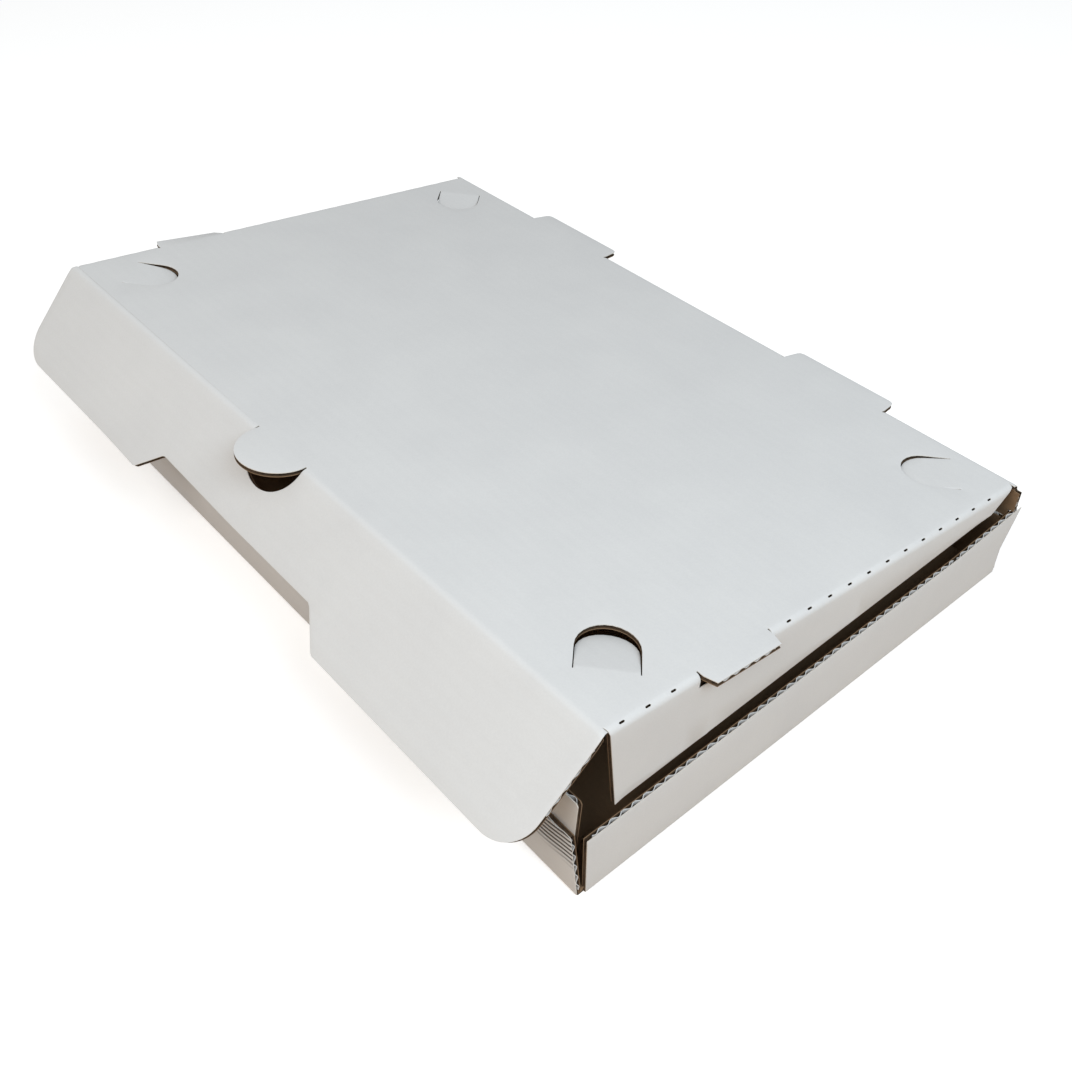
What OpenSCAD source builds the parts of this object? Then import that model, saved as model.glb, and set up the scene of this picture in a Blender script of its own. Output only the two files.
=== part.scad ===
// Flatbread takeaway box: a die-cut corrugated sheet folded into a low tray with a hinged lid.
// Millimetres, +Z up. The origin is the middle of the tray's underside, the hinge is at +Y, the front at -Y.

/* [Board] */
// Thickness of the corrugated board
board_t = 2.8; // [1.6:0.1:3.4]
// Thickness of each flat liner of the board
liner_t = 0.4; // [0.3:0.05:0.5]
// Thickness of the zigzag medium between the liners
medium_t = 0.4; // [0.3:0.05:0.5]
// Distance from one flute to the next
flute_pitch = 6.4; // [5:0.1:8]

/* [Tray] */
// Outer length of the tray, along the hinge
tray_length = 467; // [420:1:520]
// Outer depth of the tray, from hinge to front
tray_depth = 302; // [270:1:340]
// Height of the two side walls
side_wall_h = 37.5; // [30:0.5:40]
// How much higher a side wall is at its back end
side_wall_rise = 4; // [0:0.5:6]
// Length of the back end of a side wall that rises
side_wall_rise_l = 45; // [30:1:80]
// How far the top of a side wall's back end leans back
side_wall_rake = 9; // [0:0.5:10]
// Height above which a side wall's back end leans back
side_wall_rake_z = 18; // [17:0.5:24]
// Height of the front wall
front_wall_h = 37; // [28:0.5:37]
// Height of the back wall, up to the hinge fold
back_wall_h = 57.5; // [52:0.5:70]
// Height of the back wall's full-length upper part, above the corners of the side walls
back_end_h = 13; // [12.5:0.5:14]
// Gap between the foot of a front or back wall's end and the tray's side
wall_foot_inset = 1.5; // [1:0.1:3]
// How much further in the top of a front or back wall's end stands
wall_end_taper = 4.5; // [2:0.1:8]
// Length of the glued corner ears behind the front and back walls
ear_length = 48; // [30:1:60]
// Height of the two front ears, which rise above the front wall
front_ear_h = 58.5; // [50:0.5:60]
// Gap between the end of an ear and the side wall
ear_gap = 2.2; // [1:0.1:4]

/* [Lid] */
// Opening angle of the lid as it stands ajar
lid_open = 7.2; // [2:0.1:20]
// How far the lid's front fold stops short of the tray's front face
lid_front_step = 12; // [8:0.5:20]
// Gap between the lid's side flaps and the tray's side walls
lid_side_gap = 0.7; // [0.4:0.1:3]
// Gap between two panels along a fold that moves
crease_gap = 0.3; // [0.2:0.05:0.6]

/* [Side flaps] */
// Depth of a side flap at its front end
side_flap_front_d = 50; // [40:0.5:52]
// Depth of a side flap at its hinge end
side_flap_back_d = 12; // [8:0.5:16]
// Distance from the hinge to the side flap's back end
side_flap_back_y = 4; // [4:0.5:20]
// How far the side flap's back end rakes forward over its depth
side_flap_back_rake = 14; // [0:0.5:20]
// Distance from the lid's front fold to the side flap's front end
side_flap_front_y = 1.5; // [1:0.5:10]
// How far the side flap's front end rakes back over its depth
side_flap_rake = 12.5; // [5:0.5:20]

/* [Front flap] */
// Depth of the front flap, from fold to free edge
front_flap_d = 62; // [56:0.5:66]
// Angle that the front flap is folded down from the lid's plane
front_flap_fold = 51; // [30:0.5:51]
// Radius of the front flap's two free corners
front_flap_r = 20; // [8:0.5:24]
// How much each end of the front flap narrows towards its free edge
front_flap_taper = 3; // [0:0.5:5]
// Width of the notch in the free edge, at its inner end
notch_w = 140; // [100:1:180]
// Depth of the notch, which is also the run of its slanted sides
notch_d = 17; // [8:0.5:20]
// Radius of the half-round thumb tongue at the middle of the front fold
tongue_r = 21; // [15:0.5:26]
// Gap around the thumb tongue when the front flap lies flat
tongue_gap = 1; // [0.5:0.1:2]

/* [Fold tabs] */
// Length of each tab along the hinge fold
back_tab_l = 70; // [50:1:90]
// How far the hinge tabs stand out behind the hinge fold
back_tab_out = 11; // [6:0.5:14]
// Distance from the middle of the hinge to the middle of a tab
back_tab_x = 111.5; // [80:0.5:125]
// Length of the tab along each side fold
side_tab_l = 43; // [30:1:60]
// How far a side tab stands out beyond the side fold
side_tab_out = 6.2; // [4:0.1:8]
// Distance from the hinge to the middle of a side tab
side_tab_y = 214; // [150:1:240]
// How much each end of a tab narrows towards its outer edge
tab_taper = 2; // [0:0.5:4]
// Clearance around a tab in the slot that it was cut from
tab_gap = 1; // [0.5:0.1:2]

/* [Vents] */
// Width of a vent tongue at its fold
vent_w = 28; // [20:0.5:34]
// Length of a vent tongue, from its fold to its round end
vent_l = 28; // [20:0.5:36]
// Distance of a vent fold's middle from the lid's side fold, and of a front one from the front fold
vent_inset = 24.5; // [20:0.5:40]
// Distance of a back vent fold's middle from the hinge
vent_back_inset = 20; // [16:0.5:40]
// Width of the cut around a vent tongue
vent_slit = 0.6; // [0.3:0.1:1.5]
// Angle that a vent tongue is pressed down
vent_press = 11; // [4:0.5:25]

/* [Hidden] */
$fn = 64;
// Overshoot of a cutting body past the face that it cuts
cut = 1;
// Angle between the closed lid and the back wall
hinge_corner = 90;
// Height of the space between the two liners
core_t = board_t - 2 * liner_t;
// Slope of the zigzag medium and the half widths that it takes along and across the board
flute_slope = atan2(core_t, flute_pitch / 2);
medium_half_x = medium_t / (2 * sin(flute_slope));
medium_half_y = medium_t / (2 * cos(flute_slope));
hinge_y = tray_depth / 2;
inner_x = tray_length / 2 - board_t;
// The ears are glued to the inner faces of the front and back walls
ear_y = tray_depth / 2 - 2 * board_t;
side_wall_l = 2 * ear_y + board_t;
lid_length = tray_length - 2 * board_t - 2 * lid_side_gap;
lid_depth = tray_depth - lid_front_step;
fold_gap = crease_gap / 2;

// Shapes of the board

// Cut section of the board, length along X and thickness along Y, with a row of open flutes
module board_section(length) {
    count = floor(length / flute_pitch);
    start = (length - count * flute_pitch) / 2;
    half = flute_pitch / 2 - medium_half_x;
    difference() {
        square([length, board_t]);
        for (i = [0 : count - 1])
            translate([start + (i + 0.5) * flute_pitch, liner_t])
                polygon([[-half, 0], [half, 0], [0, core_t - medium_half_y]]);
        for (i = [1 : count - 1])
            translate([start + i * flute_pitch, board_t - liner_t])
                polygon([[half, 0], [-half, 0], [0, medium_half_y - core_t]]);
    }
}

// Upright board with vertical flutes, its length along X and its thickness along +Y
module upright_board(length, height) {
    linear_extrude(height) board_section(length);
}

// Prism along X, centred on x, whose outline is given in Y and Z
module rail(x, length, outline) {
    translate([x - length / 2, 0, 0])
        rotate([90, 0, 90])
            linear_extrude(length) polygon(outline);
}

// Wedge that bevels a panel's edge at y = 0, so that its fold can turn through the angle given
module fold_bevel(x, length, angle) {
    run = tan(angle / 2);
    rail(x, length, [
        [cut, cut],
        [cut * run - fold_gap, cut],
        [-fold_gap - (board_t + cut) * run, -board_t - cut],
        [cut, -board_t - cut]
    ]);
}

// Tray

module floor_panel() {
    translate([-tray_length / 2, -tray_depth / 2, 0])
        cube([tray_length, tray_depth, board_t]);
}

// Front or back wall with ends that lean in, its outer face on y = 0 and its board towards -Y
module end_wall(height) {
    foot = tray_length / 2 - wall_foot_inset;
    top = foot - wall_end_taper;
    rotate([90, 0, 0])
        linear_extrude(board_t)
            polygon([[-foot, 0], [foot, 0], [top, height], [-top, height]]);
}

module back_wall() {
    slot_d = back_tab_out + tab_gap;
    difference() {
        translate([0, hinge_y, 0]) {
            end_wall(back_wall_h);
            translate([-tray_length / 2, -board_t, back_wall_h - back_end_h])
                cube([tray_length, board_t, back_end_h]);
        }
        // The top is bevelled for the lid, as the lid is for the wall
        translate([0, hinge_y, back_wall_h])
            mirror([0, 1, -1])
                fold_bevel(0, tray_length + 2 * cut, hinge_corner);
        for (s = [-1, 1])
            translate([s * back_tab_x - back_tab_l / 2 - tab_gap, hinge_y - board_t - cut, back_wall_h - slot_d])
                cube([back_tab_l + 2 * tab_gap, board_t + 2 * cut, slot_d + cut]);
    }
}

module front_wall() {
    mirror([0, 1, 0])
        translate([0, hinge_y, 0])
            end_wall(front_wall_h);
}

// Side wall at +X, whose back end rises and leans back
module side_wall() {
    end = side_wall_l / 2;
    top = side_wall_h + side_wall_rise;
    intersection() {
        translate([tray_length / 2, -end, board_t])
            rotate([0, 0, 90])
                upright_board(side_wall_l + side_wall_rake, top - board_t);
        rail(tray_length / 2, 2 * (board_t + cut), [
            [-end, 0],
            [end, 0],
            [end, side_wall_rake_z],
            [end + side_wall_rake, top],
            [end - side_wall_rise_l, side_wall_h],
            [-end, side_wall_h]
        ]);
    }
}

// Corner ear glued to the inner face of the back wall at +X
module ear(height) {
    translate([inner_x - ear_gap - ear_length, ear_y, board_t])
        upright_board(ear_length, height - board_t);
}

module tray() {
    color("whitesmoke") {
        floor_panel();
        back_wall();
        front_wall();
        for (s = [0, 1])
            mirror([s, 0, 0]) {
                side_wall();
                ear(side_wall_h);
                mirror([0, 1, 0]) ear(front_ear_h);
            }
    }
}

// Lid, drawn closed with its hinge fold on the X axis and its top face at z = 0

module vent_outline(width, length) {
    r = width / 2;
    translate([0, -r]) square([length - r, width]);
    translate([length - r, 0]) circle(r);
}

// Puts its children at the fold of a vent, with +X towards the middle of the lid
module at_vent(side, front) {
    toward = front ? 1 : -1;
    y = front ? lid_depth - vent_inset : vent_back_inset;
    translate([side * (lid_length / 2 - vent_inset), -y, 0])
        rotate([0, 0, atan2(toward, -side)])
            children();
}

// Tab that stands out along +Y from a fold on the X axis, rooted a little inside the panel
module tab_outline(length, out) {
    half = length / 2;
    polygon([[-half, -cut], [half, -cut], [half, 0], [half - tab_taper, out], [tab_taper - half, out], [-half, 0]]);
}

module lid_outline() {
    translate([-lid_length / 2, -lid_depth]) square([lid_length, lid_depth]);
    translate([0, -lid_depth]) circle(tongue_r);
    for (s = [-1, 1]) {
        translate([s * back_tab_x, 0]) tab_outline(back_tab_l, back_tab_out);
        translate([s * lid_length / 2, -side_tab_y])
            rotate(-90 * s) tab_outline(side_tab_l, side_tab_out);
    }
}

// Bevels of the hinge fold between the tabs, and of the front fold beside the thumb tongue
module lid_bevels() {
    tab_in = back_tab_x - back_tab_l / 2;
    tab_end = back_tab_x + back_tab_l / 2;
    end_l = lid_length / 2 - tab_end + cut;
    front_l = lid_length / 2 - tongue_r + cut;
    fold_bevel(0, 2 * tab_in, hinge_corner);
    for (s = [-1, 1]) {
        fold_bevel(s * (tab_end + end_l / 2), end_l, hinge_corner);
        translate([0, -lid_depth, 0])
            mirror([0, 1, 0])
                fold_bevel(s * (tongue_r + front_l / 2), front_l, front_flap_fold);
    }
}

module lid_panel() {
    difference() {
        translate([0, 0, -board_t]) linear_extrude(board_t) lid_outline();
        lid_bevels();
        for (side = [-1, 1], front = [false, true])
            at_vent(side, front)
                translate([0, 0, -board_t - cut])
                    linear_extrude(board_t + 2 * cut) vent_outline(vent_w, vent_l);
    }
    for (side = [-1, 1], front = [false, true])
        at_vent(side, front)
            rotate([0, vent_press, 0])
                translate([0, 0, -board_t])
                    linear_extrude(board_t)
                        vent_outline(vent_w - 2 * vent_slit, vent_l - vent_slit);
}

// Wedge-shaped flap at the lid's +X side, with the slot that the side tab was cut from
module side_flap() {
    length = lid_depth - side_flap_front_y - side_flap_back_y;
    front_y = side_flap_front_y - lid_depth;
    intersection() {
        translate([lid_length / 2, front_y, -side_flap_front_d])
            rotate([0, 0, 90])
                upright_board(length, side_flap_front_d);
        translate([lid_length / 2 - board_t - cut, 0, 0])
            rotate([90, 0, 90])
                linear_extrude(board_t + 2 * cut)
                    difference() {
                        polygon([
                            [-side_flap_back_y, 0],
                            [front_y, 0],
                            [front_y + side_flap_rake, -side_flap_front_d],
                            [-side_flap_back_y - side_flap_back_rake, -side_flap_back_d]
                        ]);
                        translate([-side_tab_y - side_tab_l / 2 - tab_gap, -side_tab_out - tab_gap])
                            square([side_tab_l + 2 * tab_gap, side_tab_out + tab_gap - board_t]);
                    }
    }
}

// Turns and lifts its children from the closed lid's place to where the lid stands ajar
module at_hinge() {
    translate([0, hinge_y, back_wall_h])
        rotate([-lid_open, 0, 0])
            children();
}

module lid() {
    color("gainsboro")
        at_hinge() {
            lid_panel();
            for (s = [0, 1])
                mirror([s, 0, 0]) side_flap();
        }
}

// Front flap, drawn flat with its fold on the X axis, its free edge at -Y and its outer face at z = 0

module front_flap_outline() {
    half = lid_length / 2;
    lean = atan2(front_flap_taper, front_flap_d);
    round_x = half - front_flap_r / cos(lean) - (front_flap_d - front_flap_r) * tan(lean);
    out = front_flap_r + cut;
    difference() {
        polygon([
            [-half, 0],
            [half, 0],
            [half - front_flap_taper, -front_flap_d],
            [front_flap_taper - half, -front_flap_d]
        ]);
        for (s = [0, 1])
            mirror([s, 0])
                translate([round_x, front_flap_r - front_flap_d])
                    difference() {
                        polygon([[0, 0], [out * cos(lean), -out * sin(lean)], [out, -out], [0, -out]]);
                        circle(front_flap_r);
                    }
        polygon([
            [-notch_w / 2, notch_d - front_flap_d],
            [notch_w / 2, notch_d - front_flap_d],
            [notch_w / 2 + notch_d + cut, -front_flap_d - cut],
            [-notch_w / 2 - notch_d - cut, -front_flap_d - cut]
        ]);
        circle(tongue_r + tongue_gap);
    }
}

module front_flap() {
    color("white")
        at_hinge()
            translate([0, -lid_depth, 0])
                rotate([front_flap_fold, 0, 0])
                    difference() {
                        intersection() {
                            translate([-lid_length / 2, -front_flap_d, -board_t])
                                rotate([90, 0, 90])
                                    linear_extrude(lid_length) board_section(front_flap_d);
                            translate([0, 0, -board_t - cut])
                                linear_extrude(board_t + 2 * cut) front_flap_outline();
                        }
                        fold_bevel(0, lid_length + 2 * cut, front_flap_fold);
                    }
}

tray();
lid();
front_flap();
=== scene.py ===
# %% [markdown]
# # A flatbread takeaway box in folded board
#
# The real box is one sheet of white-faced corrugated board. A steel die cuts the outline, the slits and the notches,
# a blunt rule scores the folds, and somebody folds it up. This lesson works in the same order: cut a flat sheet,
# score it, fold it with a small function, give it thickness, and dress the open cuts with their wavy flutes.
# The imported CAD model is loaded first, because it fixes where every panel stands and what turns about what.

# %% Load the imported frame
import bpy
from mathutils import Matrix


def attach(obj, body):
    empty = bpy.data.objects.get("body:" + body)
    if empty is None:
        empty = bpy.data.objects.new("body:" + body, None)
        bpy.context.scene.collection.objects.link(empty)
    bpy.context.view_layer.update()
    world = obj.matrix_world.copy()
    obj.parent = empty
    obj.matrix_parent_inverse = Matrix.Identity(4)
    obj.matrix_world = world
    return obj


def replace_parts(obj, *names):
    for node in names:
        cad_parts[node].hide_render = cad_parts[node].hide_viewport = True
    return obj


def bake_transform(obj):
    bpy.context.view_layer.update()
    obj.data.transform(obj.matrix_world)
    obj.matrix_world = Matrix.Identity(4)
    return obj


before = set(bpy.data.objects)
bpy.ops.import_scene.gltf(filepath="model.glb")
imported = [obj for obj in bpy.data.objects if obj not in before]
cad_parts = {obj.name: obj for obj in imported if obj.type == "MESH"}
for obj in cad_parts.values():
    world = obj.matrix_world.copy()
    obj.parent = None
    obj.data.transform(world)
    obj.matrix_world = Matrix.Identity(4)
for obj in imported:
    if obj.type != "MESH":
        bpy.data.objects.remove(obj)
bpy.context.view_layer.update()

# %% [markdown]
# ## Sizes
#
# The sizes are the CAD model's, in millimetres, because a box maker thinks in millimetres. Blender works in metres,
# so every finished point is multiplied by MM once, at the end.

# %% Name the sizes
import math

import bmesh
import bpy
import numpy as np
from mathutils import Matrix, Vector
from mathutils.geometry import delaunay_2d_cdt

MM = 0.001
BOARD, LINER, FLUTE_PITCH = 2.8, 0.4, 6.4
TRAY_X, TRAY_Y = 233.5, 151.0
SIDE_H, FRONT_H, BACK_H = 37.5, 37.0, 57.5
LID_X, LID_DEPTH = 230.0, 290.0
LID_OPEN, FLAP_FOLD = math.radians(7.2), math.radians(51)
HINGE_FOLD, RIGHT_ANGLE = math.pi / 2 - LID_OPEN, math.pi / 2
print("lid", 2 * LID_X, "x", LID_DEPTH, "mm, tray", 2 * TRAY_X, "x", 2 * TRAY_Y, "mm")

# %% [markdown]
# ## A fold
#
# A scored fold in board is never a sharp corner: the outer paper runs round a small bend. A bevel modifier would
# round the corner too, but it can't follow tabs that stay flat beside the fold. Here one function gives the section
# of a fold instead. It takes the distance past the sharp corner, measured on the flat sheet, and returns how far
# along and how far down the outer face then lies, and how far it has turned. UNFOLDED is a distance so far before the
# corner that nothing bends there.

# %% Describe the section of a rounded fold
BOTTOM_R, SIDE_R, FRONT_R, HINGE_R = 1.6, 3.4, 4.5, 3.2
UNFOLDED = -99.0


def fold_reach(angle, radius):
    return radius * math.tan(angle / 2)


def rounded_fold(past, angle, radius):
    reach = fold_reach(angle, radius)
    turn = np.clip((past + reach) / (2 * reach), 0, 1) * angle
    along = np.where(past > reach, past * math.cos(angle), radius * np.sin(turn) - reach)
    down = np.where(past > reach, past * math.sin(angle), radius * (1 - np.cos(turn)))
    return np.where(past < -reach, past, along), np.where(past < -reach, 0, down), turn


BOTTOM_REACH = fold_reach(RIGHT_ANGLE, BOTTOM_R)
SIDE_REACH = fold_reach(RIGHT_ANGLE, SIDE_R)
FRONT_REACH = fold_reach(FLAP_FOLD, FRONT_R)
HINGE_REACH = fold_reach(HINGE_FOLD, HINGE_R)
print("folds reach", [round(r, 2) for r in (BOTTOM_REACH, SIDE_REACH, FRONT_REACH, HINGE_REACH)], "mm each way")

# %% [markdown]
# ## Cutting the flat sheet
#
# The die cut is a set of closed loops: one outline, and a hole for each slit. Blender's Delaunay function fills such
# loops with triangles and takes extra lines as scores, which give the sheet points to bend at. A second ring of
# points just inside each cut lets the edge be pressed a little thinner, as a die leaves it.

# %% Cut and score a sheet
RIM, MARGIN, MITRE_LIMIT, MERGE = 1.2, 1.0, 0.5, 0.001


def wound(loop, left):
    x, y = np.array(loop, float).T
    area = np.sum(x * np.roll(y, -1) - np.roll(x, -1) * y)
    return np.array(loop if (area > 0) == left else loop[::-1], float)


def inward_of(loop):
    ahead = np.roll(loop, -1, 0) - loop
    side = np.stack([-ahead[:, 1], ahead[:, 0]], 1) / np.linalg.norm(ahead, axis=1)[:, None]
    before = np.roll(side, 1, 0)
    return (side + before) / np.maximum(1 + np.sum(side * before, 1), MITRE_LIMIT)[:, None]


def within(points, loop):
    inside = np.zeros(len(points), bool)
    for (ax, ay), (bx, by) in zip(loop, np.roll(loop, -1, 0)):
        crosses = (ay > points[:, 1]) != (by > points[:, 1])
        if crosses.any():
            inside[crosses] ^= points[crosses, 0] < ax + (points[crosses, 1] - ay) * (bx - ax) / (by - ay)
    return inside


def cut_sheet(outline, holes=(), scores=(), grid=16.0):
    loops = [wound(outline, True)] + [wound(hole, False) for hole in holes]
    rings = [loop + RIM * inward_of(loop) for loop in loops]
    low, high = loops[0].min(0) - MARGIN, loops[0].max(0) + MARGIN
    first = low + MARGIN + grid / 2
    lines = list(scores)
    lines += [((x, low[1]), (x, high[1])) for x in np.arange(first[0], high[0], grid)]
    lines += [((low[0], y), (high[0], y)) for y in np.arange(first[1], high[1], grid)]
    points, edges = [], []
    for loop in loops + rings:
        start, count = len(points), len(loop)
        points += [tuple(p) for p in loop]
        edges += [(start + i, start + (i + 1) % count) for i in range(count)]
    for line in lines:
        edges.append((len(points), len(points) + 1))
        points += line
    found = delaunay_2d_cdt([Vector(p) for p in points], edges, [], 0, MERGE)
    flat, triangles = np.array([p[:2] for p in found[0]]), np.array(found[2])
    middles, inside = flat[triangles].mean(1), np.zeros(len(triangles), bool)
    for loop in loops:
        inside ^= within(middles, loop)
    used, triangles = np.unique(triangles[inside], return_inverse=True)
    return flat[used], triangles.reshape(-1, 3)


print("a trial square gives", len(cut_sheet([(0, 0), (40, 0), (40, 40), (0, 40)])[1]), "triangles")

# %% [markdown]
# ## Giving the sheet its thickness
#
# Corrugated board is two flat papers, the liners, with a wavy paper glued between them. A Solidify modifier would
# give a plain slab. Here each cut gets its own section: the edge of the outer liner, a groove where the wavy paper
# is, and the edge of the inner liner. The groove is deep where the cut crosses the flutes, and shallow where it runs
# along them. Seams are rows of the sheet where it meets another piece, so there the edge is neither pressed nor
# grooved. A function named torn may pull the outer liner back from a cut. A function named place folds each point of
# the flat sheet into the box, so the same code makes every panel. The flat sheet is kept as a UV map, for patterns that
# follow the board.

# %% Fold a sheet into board
CRUSH, GROOVE, SHALLOW, SEAM_GROOVE, SEAM_NEAR = 0.16, 2.6, 0.45, 0.02, 0.01
OUTER, INNER, CUT, CORE = range(4)


def rim_of(triangles):
    edges = np.concatenate([triangles[:, [0, 1]], triangles[:, [1, 2]], triangles[:, [2, 0]]])
    _, where, count = np.unique(np.sort(edges, 1), axis=0, return_index=True, return_counts=True)
    return edges[where[count == 1]]


def board(name, sheet, place, over=False, seams=(), flutes=0, torn=None):
    flat, triangles = sheet
    rim = rim_of(triangles)
    ahead = flat[rim[:, 1]] - flat[rim[:, 0]]
    ahead = ahead / np.linalg.norm(ahead, axis=1)[:, None]
    side = np.stack([-ahead[:, 1], ahead[:, 0]], 1)
    open_end = np.zeros(len(flat))
    for column in (0, 1):
        np.maximum.at(open_end, rim[:, column], ahead[:, 1 - flutes] ** 2)
    after, before = np.zeros_like(flat), np.zeros_like(flat)
    after[rim[:, 0]], before[rim[:, 1]] = side, side
    ids = np.unique(rim)
    inward = (after + before)[ids] / np.maximum(1 + np.sum(after * before, 1)[ids], MITRE_LIMIT)[:, None]
    cut = np.ones(len(ids))
    for row in seams:
        cut[np.abs(flat[ids, 1] - row) < SEAM_NEAR] = 0
    press = np.zeros(len(flat))
    press[ids] = CRUSH * cut
    groove = SHALLOW + (GROOVE - SHALLOW) * open_end[ids]
    deep = flat[ids] + inward * (SEAM_GROOVE + groove * cut)[:, None]
    top, low = press[ids] + LINER, BOARD - LINER - press[ids]
    skin = flat if torn is None else flat + torn(flat)
    spots = [skin, flat, skin[ids], deep, deep, flat[ids]]
    depths = [press, BOARD - press, top, top, low, low]
    points = np.concatenate([place(p, t) for p, t in zip(spots, depths)])
    count, rank = len(flat), {v: i for i, v in enumerate(ids)}
    base = 2 * count + len(ids) * np.arange(4)
    faces = [tuple(t) for t in triangles] + [tuple(t[::-1] + count) for t in triangles]
    kinds = [OUTER] * len(triangles) + [INNER] * len(triangles)
    for a, b in rim:
        left, right = [a, *(base + rank[a]), a + count], [b, *(base + rank[b]), b + count]
        faces += [(left[k], left[k + 1], right[k + 1], right[k]) for k in range(5)]
        kinds += [CUT, CORE, CORE, CORE, INNER]
    if over:
        faces = [f[::-1] for f in faces]
    mesh = bpy.data.meshes.new(name)
    mesh.from_pydata((points * MM).tolist(), [], [[int(v) for v in f] for f in faces])
    mesh.polygons.foreach_set("material_index", kinds)
    corners = np.zeros(len(mesh.loops), int)
    mesh.loops.foreach_get("vertex_index", corners)
    sheet_map = mesh.uv_layers.new(name="sheet")
    sheet_map.data.foreach_set("uv", (np.concatenate(spots)[corners] * MM).astype(np.float32).ravel())
    return mesh


print("board is", BOARD, "mm with a groove", SHALLOW, "to", GROOVE, "mm deep in each cut")

# %% [markdown]
# ## The tray
#
# The tray is the floor with four walls folded up from it. The outline below is its right half, from the middle of the
# back wall round to the middle of the front wall, and the left half is the same mirrored. Two slots in the back wall
# are where the lid's hinge tabs were cut from. Scores mark the folds at the foot of each wall.

# %% Draw the tray's outline and folds
FOOT_X, TOP_X, WALL_END_Y = 232.0, 227.5, 146.8
WALL_RISE, WALL_RISE_LONG, WALL_RAKE, WALL_RAKE_H = 4.0, 45.0, 9.0, 18.0
BACK_NECK_X, BACK_NECK_H, BACK_END_H, BACK_INSET = 230.0, 20.0, 15.3, 0.5
TAB_IN, TAB_OUT, TAB_GAP, SLOT_H = 76.5, 146.5, 1.0, 45.5
SCORES = np.linspace(-1, 1, 7)


def both_halves(right):
    return list(right) + [(-x, y) for x, y in reversed(right)]


def fold_scores(at, reach, start, end, across):
    lines = [((at + k * reach, start), (at + k * reach, end)) for k in SCORES]
    return [tuple((y, x) for x, y in line) for line in lines] if across else lines


back_top, wide_y, neck_y = TRAY_Y + BACK_H - HINGE_REACH, TRAY_Y + BACK_H - BACK_END_H, TRAY_Y + BACK_NECK_H
slot_in, slot_out, slot_y = TAB_IN - TAB_GAP, TAB_OUT + TAB_GAP, TRAY_Y + SLOT_H
wide_x, wall_top, rise_y = TRAY_X - BACK_INSET, TRAY_X + SIDE_H, WALL_END_Y - WALL_RISE_LONG
tray_right = [
    (slot_in, back_top), (slot_in, slot_y), (slot_out, slot_y), (slot_out, back_top),
    (LID_X, back_top), (LID_X + BACK_INSET, back_top - BACK_INSET), (wide_x, back_top - BACK_INSET),
    (wide_x, wide_y), (BACK_NECK_X, wide_y), (BACK_NECK_X, neck_y), (FOOT_X, TRAY_Y), (FOOT_X, TRAY_Y - BOTTOM_REACH),
    (TRAY_X - BOTTOM_REACH, WALL_END_Y), (TRAY_X + WALL_RAKE_H, WALL_END_Y),
    (wall_top + WALL_RISE, WALL_END_Y + WALL_RAKE), (wall_top, rise_y),
    (wall_top, -WALL_END_Y), (TRAY_X - BOTTOM_REACH, -WALL_END_Y),
    (FOOT_X, BOTTOM_REACH - TRAY_Y), (FOOT_X, -TRAY_Y), (TOP_X, -TRAY_Y - FRONT_H),
]
tray_scores = []
for sign in (-1, 1):
    tray_scores += fold_scores(sign * TRAY_X, BOTTOM_REACH, -WALL_END_Y, WALL_END_Y, False)
    tray_scores += fold_scores(sign * TRAY_Y, BOTTOM_REACH, -FOOT_X, FOOT_X, True)
print("points in half of the tray's outline:", len(tray_right), "scores:", len(tray_scores))

# %% [markdown]
# The front wall was squeezed near its right end, and fine wrinkles run along its upper part there. A bump in the
# finish would only shade them. Here the sheet is scored closely in that place, four times for each wrinkle, so that
# the outer liner can really sink in. Each wrinkle leans a little and sways.

# %% Score the wrinkles
WRINKLE_X, WRINKLE_FADE_X, WRINKLE_Y, WRINKLE_FADE_Y = 196.0, 10.0, -168.0, 6.0
WRINKLE_STEP, WRINKLE_DEEP, WRINKLE_FLAT = 2.8, 0.35, 0.8
WRINKLE_LEAN, WRINKLE_SWAY, WRINKLE_SWAY_LONG = 0.14, 0.6, 5.0
WRINKLE_PIECE, WRINKLE_FROM, WRINKLE_TO = 3.0, 26.0, 34.0


def wrinkle_height(x, y):
    return y + WRINKLE_LEAN * x + WRINKLE_SWAY * np.sin(x / WRINKLE_SWAY_LONG)


def wrinkle_sink(x, y):
    there = np.clip((x - WRINKLE_X) / WRINKLE_FADE_X, 0, 1) * np.clip((WRINKLE_Y - y) / WRINKLE_FADE_Y, 0, 1)
    wave = np.sin(wrinkle_height(x, y) * 2 * math.pi / WRINKLE_STEP)
    return WRINKLE_DEEP * there * np.clip(wave / WRINKLE_FLAT, 0, 1)


front_top, wrinkle_xs = -TRAY_Y - FRONT_H, np.arange(WRINKLE_X, FOOT_X, WRINKLE_PIECE)
for height in np.arange(front_top + WRINKLE_FROM, WRINKLE_Y + WRINKLE_TO, WRINKLE_STEP / 4):
    dots = list(zip(wrinkle_xs, height - wrinkle_height(wrinkle_xs, 0)))
    tray_scores += [pair for pair in zip(dots, dots[1:]) if front_top < pair[0][1] < WRINKLE_Y]
print("scores with the wrinkles:", len(tray_scores))

# %% [markdown]
# The place function folds whatever lies past the floor's edges. A wall's own points must not be bent by the fold beside
# it, so each wall is told apart first. These folds are sharp, so the board is crushed thin inside them.

# %% Cut the tray and say how it folds
WALL_FROM, CRUSHED, TINY_TURN = 1.0, 0.8 * BOTTOM_R / BOARD, 1e-6
tray_sheet = cut_sheet(both_halves(tray_right), scores=tray_scores)


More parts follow.
